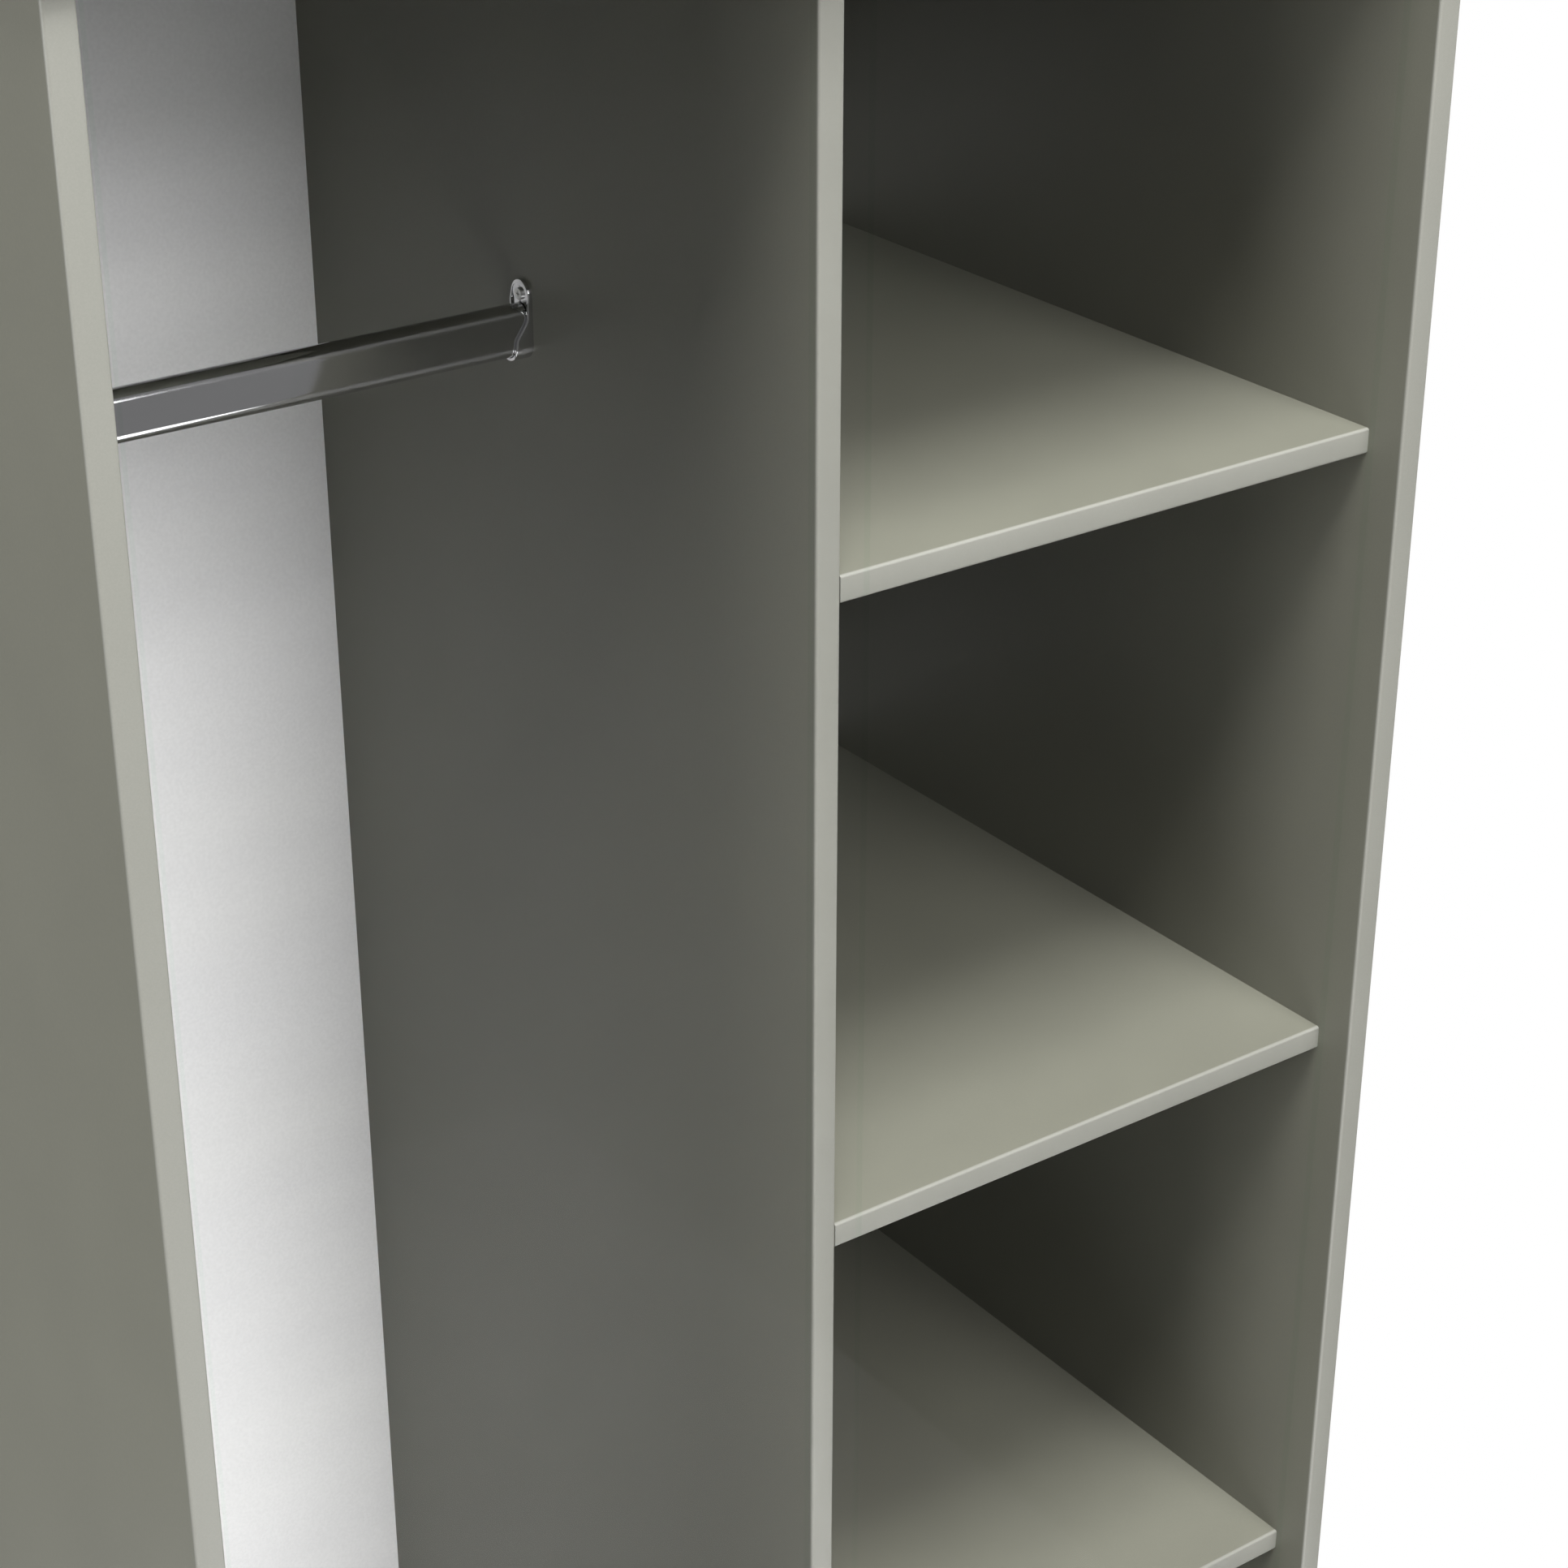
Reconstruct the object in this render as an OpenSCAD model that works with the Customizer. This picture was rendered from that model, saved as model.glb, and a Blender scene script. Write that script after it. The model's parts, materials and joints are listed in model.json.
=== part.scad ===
// Sliding door wardrobe: an open carcass with a hanging bay and a shelf bay,
// closed in front by two clear glass doors that pass each other in a twin track.
// Millimetres, +Z up, front towards -Y, origin at the centre of the base.

/* [Carcass] */
// Width over the two side panels
body_w = 791; // [660:1:1000]
// Depth of the side panels, without the back panel
side_d = 547; // [450:1:680]
// Clear height between the bottom panel and the top panel
clear_h = 1906; // [1580:1:2300]
// Thickness of the sides, divider, shelves and bottom panel
board_t = 15; // [12:0.5:19]
// Thickness of the top panel
top_t = 22; // [20:0.5:28]
// Overhang of the top panel at the front and at each side
top_overhang = 5; // [0:0.5:20]
// Thickness of the back panel
back_t = 3; // [2.5:0.5:6]
// Width of the hanging bay, left of the divider
hanging_w = 376; // [300:1:450]
// How far the divider and shelves stand back from the front of the sides
recess = 26; // [25:0.5:60]
// Height of the plinth boards
plinth_h = 33; // [25:1:120]
// How far the front plinth stands back
plinth_inset = 20; // [5:1:60]

/* [Shelves] */
// Clear height above the highest shelf
top_space = 350; // [300:1:600]

/* [Edging] */
// Thickness of the edge band
band_t = 2; // [1:0.1:3]
// Radius of the edge band's front arrises
band_r = 1.5; // [0.5:0.1:2]

/* [Hanging rail] */
// Height of the oval rail section
rail_h = 30; // [25:1:35]
// Width of the oval rail section
rail_w = 15; // [12:1:18]
// Wall thickness of the rail tube
rail_wall = 1.2; // [0.8:0.1:2]
// Centre of the rail below the top panel
rail_drop = 290; // [60:1:400]
// Centre of the rail behind the front of the divider
rail_back = 273.5; // [200:0.5:300]
// Thickness of a rail socket's back plate
plate_t = 2; // [1.5:0.1:3]
// Wall of a rail socket's cup
cup_wall = 1.8; // [1.2:0.1:2.5]
// How far a rail socket's cup stands out at the bottom
cup_d = 11; // [8:0.5:18]

/* [Track] */
// Width of the twin track
track_w = 24; // [23:0.5:30]
// Wall thickness of the track's outer ribs
track_wall = 1.5; // [1.2:0.1:2]
// Thickness of the rib between the two lanes
track_mid = 2; // [1.5:0.1:3]
// Height of the bottom track's ribs
track_h = 6; // [4:0.5:10]
// Height of the running rib under a roller
rib_h = 3; // [2:0.1:4]
// Width of the running rib
rib_w = 1.6; // [1.2:0.1:2]
// Depth of the groove that takes the top track
groove_d = 12; // [9:0.5:16]
// How far the top track shows below the top panel
track_lip = 1.5; // [0.5:0.1:3]

/* [Doors] */
// Thickness of the glass
glass_t = 5; // [4:0.5:6]
// How far the closed doors overlap
door_overlap = 30; // [20:1:60]
// Thickness of the soft strip between glass and profile
strip_t = 0.5; // [0.3:0.1:1]
// Wall of the bottom and top profiles
shoe_wall = 1.2; // [1:0.1:1.5]
// Depth of the channel that holds the glass
channel_d = 12; // [8:0.5:18]
// How far a door can be lifted to take it out
lift = 4.8; // [4:0.1:8]
// Length of a top guide clip
guide_l = 40; // [20:1:80]
// Distance of the rollers and top guides from the door's ends
roller_inset = 45; // [30:1:100]
// Height of the finger pulls above the floor
pull_z = 780; // [700:5:1100]
// Radius of the hole for a finger pull
pull_r = 20; // [15:0.5:25]
// Distance of a finger pull from the door's outer edge
pull_inset = 40; // [32:1:80]

/* [Rollers] */
// Outer radius of a roller
roller_r = 7; // [6:0.1:8]
// Radius at the bottom of a roller's groove
groove_r = 5.5; // [4.5:0.1:6.5]
// Width of a roller
roller_w = 5; // [4:0.1:6]
// Radius of a roller's axle
axle_r = 1.5; // [1:0.1:2]

/* [Fittings] */
// Radius of a cam housing
cam_r = 7.5; // [6:0.5:8]
// Depth of a cam housing
cam_d = 11; // [9:0.5:12.5]
// Distance from a panel's end to a cam's centre
cam_reach = 24; // [20:0.5:34]
// Radius of a cam bolt
bolt_r = 3; // [2.5:0.1:3.5]
// Depth of a cam bolt's thread in the panel it is screwed into
bolt_grip = 10; // [8:0.5:11]
// Radius of a wood dowel
dowel_r = 4; // [3:0.5:4]
// Length of a dowel in the panel that it stands in
dowel_grip = 10; // [8:0.5:11]
// Length of a dowel in the end of the other panel
dowel_reach = 20; // [15:1:25]
// Distance of the cam fittings from the front and rear edges
fit_inset = 60; // [45:1:120]
// Distance between a cam fitting and its dowel
fit_pitch = 32; // [25:1:64]
// Thickness of a stick-on cover cap
cap_t = 0.6; // [0.4:0.1:1]
// Height of the floor glides
glide_h = 4; // [3:0.5:10]
// Radius of the floor glides
glide_r = 6; // [5:0.5:7]
// Thickness of the rubber door buffers
buffer_t = 3; // [2:0.5:6]
// Radius of a back panel nail
nail_r = 0.8; // [0.6:0.1:1.2]
// Largest distance between back panel nails
nail_pitch = 330; // [150:10:400]
// Thickness of the wall brackets
bracket_t = 2; // [1.5:0.5:3]
// Radius of the wall screw hole
anchor_r = 2.75; // [2:0.05:4]

/* [Hidden] */
$fn = 48;
eps = 0.5;
// Fixed shelves in the right bay, one node each
shelf_n = 4;
// Gap left around a piece that turns or slides
run_gap = 0.05;
// Gap between a roller and its running rib
ride_gap = 0.1;
// Gap around the rail in its socket
rail_gap = 0.2;
// Gap between the track and the divider's front
track_gap = 0.5;
// Gap under a door's bottom profile and over its rollers
shoe_gap = 2.5;
roller_gap = 1;
// Joint between two strips of edge band, or two halves of the back
seam = 0.2;

// Heights
side_z0 = glide_h;
bottom_z0 = glide_h + plinth_h;
bottom_z1 = bottom_z0 + board_t;
top_z0 = bottom_z1 + clear_h;
top_z1 = top_z0 + top_t;
side_h = top_z0 - side_z0;

// Depths, measured from the middle of the overall depth
total_d = top_overhang + side_d + back_t;
back_y1 = total_d / 2;
back_y0 = back_y1 - back_t;
front_y = back_y0 - side_d;
inner_y = front_y + recess;

// Widths
side_x = body_w / 2;
inner_x = side_x - board_t;
div_x0 = -inner_x + hanging_w;
div_x1 = div_x0 + board_t;
div_xm = (div_x0 + div_x1) / 2;
shelf_w = inner_x - div_x1;
shelf_pitch = (clear_h - top_space) / shelf_n;
shelf_tops = [for (i = [1 : shelf_n]) bottom_z1 + i * shelf_pitch];
rail_z = top_z0 - rail_drop;
rail_y = inner_y + rail_back;

// Places of the fittings along the depth: two cams, and a dowel beside each
cam_y = [inner_y + fit_inset, back_y0 - fit_inset];
dowel_y = [inner_y + fit_inset + fit_pitch, back_y0 - fit_inset - fit_pitch];

// Track and door lanes
lane_w = (track_w - 2 * track_wall - track_mid) / 2;
track_y0 = inner_y - track_gap - track_w;
lane_y = [track_y0 + track_wall + lane_w / 2, track_y0 + track_w - track_wall - lane_w / 2];
track_l = 2 * inner_x - 1;
rib_z = bottom_z1 + track_wall + rib_h;
axle_z = rib_z + ride_gap + groove_r;
shoe_w = glass_t + 2 * strip_t + 2 * shoe_wall;
shoe_z0 = bottom_z1 + track_wall + shoe_gap;
web_t = 1.5;
web_z0 = axle_z + roller_r + roller_gap;
web_z1 = web_z0 + web_t;
shoe_z1 = web_z1 + channel_d;
glass_z0 = web_z1 + strip_t;
lane_roof = top_z0 + groove_d - track_wall;
guide_z1 = lane_roof - lift;
glass_z1 = guide_z1 - shoe_wall;
guide_h = 10;
door_w = (2 * inner_x - 2 * buffer_t + door_overlap) / 2;
door_x0 = [-inner_x + buffer_t, inner_x - buffer_t - door_w];
end_cap_t = 2;

// Wall brackets
bracket_l = 40;
bracket_w = 20;
bracket_x = [(-inner_x + div_x0) / 2, (div_x1 + inner_x) / 2];
anchor_z = top_z0 - bracket_l * 0.6;

// ---- colours ----
module board() { color([0.47, 0.47, 0.42]) children(); }
module edging() { color([0.68, 0.68, 0.63]) children(); }
module white_board() { color([0.88, 0.88, 0.88]) children(); }
module bright() { color([0.75, 0.75, 0.78]) children(); }
module alloy() { color([0.66, 0.67, 0.68]) children(); }
module zinc() { color([0.6, 0.6, 0.62]) children(); }
module timber() { color([0.75, 0.6, 0.42]) children(); }
module soft() { color([0.12, 0.12, 0.12]) children(); }
module clear_glass() { color([0.75, 0.85, 0.82, 0.3]) children(); }

// ---- helpers ----
// Box from its low corner to its high corner
module span(a, b) { translate(a) cube(b - a); }

// Cylinder that starts at p and runs along x, y or z; a negative length runs backwards
module rod_x(p, r, l) { translate(p) rotate([0, l < 0 ? -90 : 90, 0]) cylinder(r = r, h = abs(l)); }
module rod_y(p, r, l) { translate(p) rotate([l < 0 ? 90 : -90, 0, 0]) cylinder(r = r, h = abs(l)); }
module rod_z(p, r, l) { translate(p) rotate([l < 0 ? 180 : 0, 0, 0]) cylinder(r = r, h = abs(l)); }

// Edge band section: x across the board, its rounded front at y = 0, body towards +y
module band_section(w) {
    intersection() {
        square([w, band_t]);
        union() {
            translate([0, band_r]) square([w, band_t]);
            translate([band_r, 0]) square([w - 2 * band_r, band_t]);
            for (x = [band_r, w - band_r]) translate([x, band_r]) circle(r = band_r);
        }
    }
}
module band_upright(x, y, z, w, l) { translate([x, y, z]) linear_extrude(l) band_section(w); }
// Band along X with its height along Z
module band_level(x, y, z, w, l) {
    translate([x, y, z + w]) rotate([0, 90, 0]) linear_extrude(l) band_section(w);
}

// ---- where the fittings go ----
// Shelf ends: direction -1 is the end at the divider, +1 the end at the right side
module shelf_ends() {
    for (z = shelf_tops) for (end = [-1, 1])
        translate([end < 0 ? div_x1 : inner_x, 0, z]) children_at(end) children();
}
module children_at(end) { mirror([end > 0 ? 1 : 0, 0, 0]) children(); }

// Cams of a level panel that ends at x = 0 and runs towards +x, its top at z = 0
module level_cams(grow = 0) {
    for (y = cam_y) rod_z([cam_reach, y, -board_t - (grow > 0 ? eps : 0)], cam_r + grow,
        cam_d + (grow > 0 ? eps : 0));
}
module level_covers() {
    for (y = cam_y) rod_z([cam_reach, y, -board_t], cam_r + 1.5, -cap_t);
}
// The bolt: thread in the neighbour (x < 0), shank in the panel up to the cam
module level_bolts() {
    for (y = cam_y) rod_x([-bolt_grip, y, -board_t / 2], bolt_r, bolt_grip + cam_reach - cam_r);
}
module level_dowels() {
    for (y = dowel_y) rod_x([-dowel_grip, y, -board_t / 2], dowel_r, dowel_grip + dowel_reach);
}

// An upright panel's end at z = 0, running towards -z (its neighbour is above); cams open at x = 0
module upright_cams(grow = 0) {
    for (y = cam_y) rod_x([-(grow > 0 ? eps : 0), y, -cam_reach], cam_r + grow,
        cam_d + (grow > 0 ? eps : 0));
}
module upright_covers() { for (y = cam_y) rod_x([0, y, -cam_reach], cam_r + 1.5, -cap_t); }
module upright_bolts() {
    for (y = cam_y) rod_z([board_t / 2, y, bolt_grip], bolt_r, -(bolt_grip + cam_reach - cam_r));
}
module upright_dowels() {
    for (y = dowel_y) rod_z([board_t / 2, y, dowel_grip], dowel_r, -(dowel_grip + dowel_reach));
}
// All upright ends: both sides and the divider under the top panel, the divider on the bottom
module upright_ends() {
    translate([-inner_x, 0, top_z0]) mirror([1, 0, 0]) children();
    translate([inner_x, 0, top_z0]) children();
    translate([div_x1, 0, top_z0]) mirror([1, 0, 0]) children();
    translate([div_x1, 0, bottom_z1]) mirror([1, 0, 0]) mirror([0, 0, 1]) children();
}
module bottom_ends() {
    translate([-inner_x, 0, bottom_z1]) children();
    translate([inner_x, 0, bottom_z1]) mirror([1, 0, 0]) children();
}
module all_bolts() {
    shelf_ends() level_bolts();
    bottom_ends() level_bolts();
    upright_ends() upright_bolts();
}
module all_dowels() {
    shelf_ends() level_dowels();
    bottom_ends() level_dowels();
    upright_ends() upright_dowels();
}
module all_cams(grow = 0) {
    shelf_ends() level_cams(grow);
    bottom_ends() level_cams(grow);
    upright_ends() upright_cams(grow);
}

// ---- back panel nails ----
nail_h = top_z1 - bottom_z0;
nail_rows = ceil(nail_h / nail_pitch);
nail_zs = [for (i = [0 : nail_rows]) bottom_z0 + board_t / 2 + i * (nail_h - board_t) / nail_rows];
nail_xs = [-side_x + board_t / 2, div_xm - board_t / 4, div_xm + board_t / 4,
    side_x - board_t / 2];
nail_l = 18;
nail_head_r = 2.2;
nail_head_t = 0.6;
module nails() {
    for (x = nail_xs) for (z = nail_zs) {
        rod_y([x, back_y1, z], nail_r, -nail_l);
        rod_y([x, back_y1, z], nail_head_r, -nail_head_t);
    }
}

// ---- screws ----
module rail_screw_shanks() {
    for (s = [-1, 1]) for (z = socket_screw_z)
        rod_x([s < 0 ? -inner_x : div_x0, rail_y, z], 1.6, s * 11);
}
track_xs = [for (i = [-1, 0, 1]) i * (inner_x - 40)];
track_screw_y = track_y0 + track_w / 2;
module track_screw_shanks() {
    for (x = track_xs) {
        for (y = lane_y) rod_z([x, y, top_z0 + groove_d - track_wall], 1.2, 8);
        rod_z([x + 12, track_screw_y, bottom_z1 + track_h - 1], 0.8, -14);
    }
}
module bracket_screw_shanks() {
    for (x = bracket_x) rod_z([x, back_y0 - bracket_l / 2, top_z0 - bracket_t], 2, 12);
}

// ---- rail socket, drawn against a wall at x = 0 facing +x, rail centre at y = z = 0 ----
cup_in = rail_w / 2 + rail_gap;
cup_out = cup_in + cup_wall;
straight = (rail_h - rail_w) / 2;
lug_z = straight + cup_out + 1.5;
socket_screw_z = [rail_z + lug_z + 1.5];
module u_outline(r, z0, z1) {
    translate([0, z0]) circle(r = r);
    translate([-r, z0]) square([2 * r, z1 - z0]);
    translate([0, z1]) circle(r = r);
}
module socket() {
    rim = 3.2;
    difference() {
        intersection() {
            rotate([90, 0, 90]) linear_extrude(cup_d) u_outline(cup_out, -straight, lug_z);
            // Side view: deep under the rail, a slope up to the shallow rim beside it
            rotate([90, 0, 0]) translate([0, 0, -2 * cup_out]) linear_extrude(4 * cup_out)
                polygon([[0, -50], [cup_d, -50], [cup_d, -straight - 2], [cup_d - 1, -straight + 4],
                    [rim + 0.6, straight - 2], [rim, straight], [rim, lug_z - 3],
                    [plate_t, lug_z + 1], [plate_t, 50], [0, 50]]);
        }
        translate([plate_t, 0, 0]) rotate([90, 0, 90]) linear_extrude(cup_d)
            u_outline(cup_in, -straight, lug_z);
        rod_x([-eps, 0, lug_z + 1.5], 1.8, plate_t + 2 * eps);
    }
}

// ---- carcass ----
module side_left() {
    board() difference() {
        span([-side_x, front_y + band_t, side_z0], [-inner_x, back_y0, top_z0]);
        side_holes();
    }
}
module side_right() {
    board() difference() {
        span([inner_x, front_y + band_t, side_z0], [side_x, back_y0, top_z0]);
        side_holes();
    }
}
module side_holes() {
    all_bolts();
    all_dowels();
    all_cams(0.1);
    nails();
    rail_screw_shanks();
    glide_pins();
}
module divider() {
    board() difference() {
        span([div_x0, inner_y + band_t, bottom_z1], [div_x1, back_y0, top_z0]);
        all_bolts();
        all_dowels();
        all_cams(0.1);
        nails();
        rail_screw_shanks();
    }
}
module shelf(i) {
    z = shelf_tops[i];
    board() difference() {
        span([div_x1, inner_y + band_t, z - board_t], [inner_x, back_y0, z]);
        for (end = [-1, 1]) translate([end < 0 ? div_x1 : inner_x, 0, z]) children_at(end) {
            level_bolts();
            level_dowels();
            level_cams(0.1);
        }
    }
}
module bottom_panel() {
    board() difference() {
        span([-inner_x, front_y + band_t, bottom_z0], [inner_x, back_y0, bottom_z1]);
        bottom_ends() {
            level_bolts();
            level_dowels();
            level_cams(0.1);
        }
        upright_ends() {
            upright_bolts();
            upright_dowels();
        }
        nails();
        track_screw_shanks();
    }
}
module top_panel() {
    x = side_x + top_overhang - band_t;
    board() difference() {
        span([-x, front_y - top_overhang + band_t, top_z0], [x, back_y0, top_z1]);
        span([-inner_x, track_y0, top_z0 - eps], [inner_x, track_y0 + track_w, top_z0 + groove_d]);
        upright_ends() {
            upright_bolts();
            upright_dowels();
        }
        nails();
        track_screw_shanks();
        bracket_screw_shanks();
    }
}
module side_edge_left() {
    edging() band_upright(-side_x, front_y, side_z0, board_t, side_h);
}
module side_edge_right() {
    edging() band_upright(inner_x, front_y, side_z0, board_t, side_h);
}
module divider_edge() { edging() band_upright(div_x0, inner_y, bottom_z1, board_t, clear_h); }
module shelf_edges() {
    edging() for (z = shelf_tops) band_level(div_x1, inner_y, z - board_t, board_t, shelf_w);
}
module bottom_edge() {
    edging() band_level(-inner_x, front_y, bottom_z0, board_t, 2 * inner_x);
}
module top_edges() {
    x = side_x + top_overhang;
    edging() {
        band_level(-x, front_y - top_overhang, top_z0, top_t, 2 * x);
        for (s = [0, 1]) mirror([s, 0, 0]) translate([-x, back_y0, top_z0]) rotate([0, 0, -90])
            band_level(0, 0, 0, top_t, total_d - back_t - band_t - seam);
    }
}
module back_half(x0, x1) {
    white_board() difference() {
        span([x0, back_y0, bottom_z0], [x1, back_y1, top_z1]);
        nails();
        for (x = bracket_x) rod_y([x, back_y0 - eps, anchor_z], anchor_r, back_t + 2 * eps);
    }
}
module back_left() { back_half(-side_x, div_xm - seam / 2); }
module back_right() { back_half(div_xm + seam / 2, side_x); }
module plinth_front() {
    board() span([-inner_x, front_y + plinth_inset, side_z0],
        [inner_x, front_y + plinth_inset + board_t, bottom_z0]);
}
module plinth_rear() {
    board() span([-inner_x, back_y0 - board_t, side_z0], [inner_x, back_y0, bottom_z0]);
}
module plinth_middle() {
    board() difference() {
        span([div_x0, front_y + plinth_inset + board_t, side_z0],
            [div_x1, back_y0 - board_t, bottom_z0]);
        glide_pins();
    }
}
glide_ys = [front_y + 40, back_y0 - 40];
glide_xs = [-side_x + board_t / 2, div_xm, side_x - board_t / 2];
module glide_pins() { for (x = glide_xs) for (y = glide_ys) rod_z([x, y, side_z0 - eps], 1.5, 12); }
module glides() {
    soft() for (x = glide_xs) for (y = glide_ys) {
        rod_z([x, y, 0], glide_r, glide_h);
        rod_z([x, y, glide_h - eps], 1.5, 12);
    }
}

// ---- hanging rail ----
module stadium(r) {
    for (z = [-straight, straight]) translate([0, z]) circle(r = r);
    translate([-r, -straight]) square([2 * r, 2 * straight]);
}
module hanging_rail() {
    l = hanging_w - 2 * plate_t - 1;
    bright() translate([-inner_x + plate_t + 0.5, rail_y, rail_z]) rotate([90, 0, 90])
        linear_extrude(l) difference() {
            stadium(rail_w / 2);
            stadium(rail_w / 2 - rail_wall);
        }
}
module rail_socket_left() { bright() translate([-inner_x, rail_y, rail_z]) socket(); }
module rail_socket_right() {
    bright() translate([div_x0, rail_y, rail_z]) mirror([1, 0, 0]) socket();
}
module rail_screws() {
    zinc() for (s = [-1, 1]) for (z = socket_screw_z)
        translate([s < 0 ? -inner_x : div_x0, rail_y, z]) mirror([s < 0 ? 0 : 1, 0, 0]) {
            rod_x([-11, 0, 0], 1.6, 11 + plate_t);
            difference() {
                rod_x([plate_t, 0, 0], 3.4, 1.4);
                for (a = [0, 90]) rotate([a, 0, 0])
                    span([plate_t + 0.8, -2, -0.35], [plate_t + 2, 2, 0.35]);
            }
        }
}

// ---- fittings ----
module cam_locks() {
    zinc() difference() {
        all_cams();
        all_bolts();
    }
}
module cam_bolts() { zinc() all_bolts(); }
module cam_covers() {
    edging() {
        shelf_ends() level_covers();
        bottom_ends() level_covers();
        upright_ends() upright_covers();
    }
}
module wood_dowels() { timber() all_dowels(); }
module back_nails() {
    zinc() nails();
}
module wall_brackets() {
    zinc() for (x = bracket_x) difference() {
        union() {
            span([x - bracket_w / 2, back_y0 - bracket_t, top_z0 - bracket_l],
                [x + bracket_w / 2, back_y0, top_z0]);
            span([x - bracket_w / 2, back_y0 - bracket_l, top_z0 - bracket_t],
                [x + bracket_w / 2, back_y0, top_z0]);
        }
        rod_y([x, back_y0 - bracket_t - eps, anchor_z], anchor_r, bracket_t + 2 * eps);
        rod_z([x, back_y0 - bracket_l / 2, top_z0 - bracket_t - eps], 2, bracket_t + 2 * eps);
    }
}
module bracket_screws() {
    zinc() {
        bracket_screw_shanks();
        for (x = bracket_x) rod_z([x, back_y0 - bracket_l / 2, top_z0 - bracket_t], 4, -2);
    }
}

// ---- tracks ----
module track_section(h, rib) {
    square([track_w, track_wall]);
    for (y = [0, track_w - track_wall]) translate([y, 0]) square([track_wall, h]);
    translate([(track_w - track_mid) / 2, 0]) square([track_mid, h]);
    if (rib > 0) for (y = lane_y)
        translate([y - track_y0 - rib_w / 2, 0]) square([rib_w, track_wall + rib]);
}
module along_x(l) { rotate([90, 0, 90]) linear_extrude(l) children(); }
module top_track() {
    alloy() difference() {
        translate([-track_l / 2, track_y0, top_z0 + groove_d]) mirror([0, 0, 1]) along_x(track_l)
            track_section(groove_d + track_lip, 0);
        for (x = track_xs) for (y = lane_y)
            rod_z([x, y, lane_roof - eps], 1.2, track_wall + 2 * eps);
    }
}
module bottom_track() {
    alloy() difference() {
        translate([-track_l / 2, track_y0, bottom_z1]) along_x(track_l)
            track_section(track_h, rib_h);
        track_screw_shanks();
    }
}
module track_screws() {
    zinc() {
        track_screw_shanks();
        for (x = track_xs) for (y = lane_y) rod_z([x, y, lane_roof], 2.4, -1.2);
    }
}
module door_buffers() {
    soft() for (i = [0, 1]) for (s = [-1, 1])
        span([s < 0 ? -inner_x : inner_x - buffer_t, lane_y[i] - 3, shoe_z0 + 5],
            [s < 0 ? -inner_x + buffer_t : inner_x, lane_y[i] + 3, shoe_z1]);
}

// ---- one door: i = 0 is the left door in the front lane, i = 1 the right door behind it ----
function roller_x(i) = [door_x0[i] + roller_inset, door_x0[i] + door_w - roller_inset];
function pull_x(i) = i == 0 ? door_x0[0] + pull_inset : door_x0[1] + door_w - pull_inset;
module door_glass(i) {
    clear_glass() difference() {
        span([door_x0[i] + end_cap_t, lane_y[i] - glass_t / 2, glass_z0],
            [door_x0[i] + door_w - end_cap_t, lane_y[i] + glass_t / 2, glass_z1]);
        rod_y([pull_x(i), lane_y[i] - glass_t, pull_z], pull_r, 2 * glass_t);
    }
}
module door_shoe(i) {
    x0 = door_x0[i] + end_cap_t;
    l = door_w - 2 * end_cap_t;
    alloy() difference() {
        span([x0, lane_y[i] - shoe_w / 2, shoe_z0], [x0 + l, lane_y[i] + shoe_w / 2, shoe_z1]);
        span([x0 - eps, lane_y[i] - shoe_w / 2 + shoe_wall, web_z1],
            [x0 + l + eps, lane_y[i] + shoe_w / 2 - shoe_wall, shoe_z1 + eps]);
        span([x0 - eps, lane_y[i] - shoe_w / 2 + shoe_wall, shoe_z0 - eps],
            [x0 + l + eps, lane_y[i] + shoe_w / 2 - shoe_wall, web_z0]);
        for (x = roller_x(i)) rod_y([x, lane_y[i] - shoe_w, axle_z], axle_r, 2 * shoe_w);
    }
}
module door_strip(i) {
    x0 = door_x0[i] + end_cap_t;
    l = door_w - 2 * end_cap_t;
    soft() difference() {
        span([x0, lane_y[i] - glass_t / 2 - strip_t, web_z1],
            [x0 + l, lane_y[i] + glass_t / 2 + strip_t, shoe_z1]);
        span([x0 - eps, lane_y[i] - glass_t / 2, glass_z0],
            [x0 + l + eps, lane_y[i] + glass_t / 2, shoe_z1 + eps]);
    }
}
module door_end_caps(i) {
    soft() for (x = [door_x0[i], door_x0[i] + door_w - end_cap_t])
        span([x, lane_y[i] - shoe_w / 2, shoe_z0 + 2], [x + end_cap_t, lane_y[i] + shoe_w / 2, shoe_z1]);
}
module door_axles(i) {
    zinc() for (x = roller_x(i)) rod_y([x, lane_y[i] - shoe_w / 2, axle_z], axle_r, shoe_w);
}
module door_guides(i) {
    soft() for (x = roller_x(i)) difference() {
        span([x - guide_l / 2, lane_y[i] - shoe_w / 2, guide_z1 - guide_h],
            [x + guide_l / 2, lane_y[i] + shoe_w / 2, guide_z1]);
        span([x - guide_l, lane_y[i] - glass_t / 2, guide_z1 - guide_h - eps],
            [x + guide_l, lane_y[i] + glass_t / 2, glass_z1]);
    }
}
// Round cup pressed through the glass: a flange on the front, an open dish, a closed floor
module door_pull(i) {
    flange = 1;
    alloy() difference() {
        union() {
            rod_y([pull_x(i), lane_y[i] - glass_t / 2 - flange, pull_z], pull_r + 3, flange);
            rod_y([pull_x(i), lane_y[i] - glass_t / 2 - flange, pull_z], pull_r, glass_t + flange);
        }
        rod_y([pull_x(i), lane_y[i] - glass_t / 2 - 2 * flange, pull_z], pull_r - 1.5,
            glass_t + 2 * flange - 1);
    }
}
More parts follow.
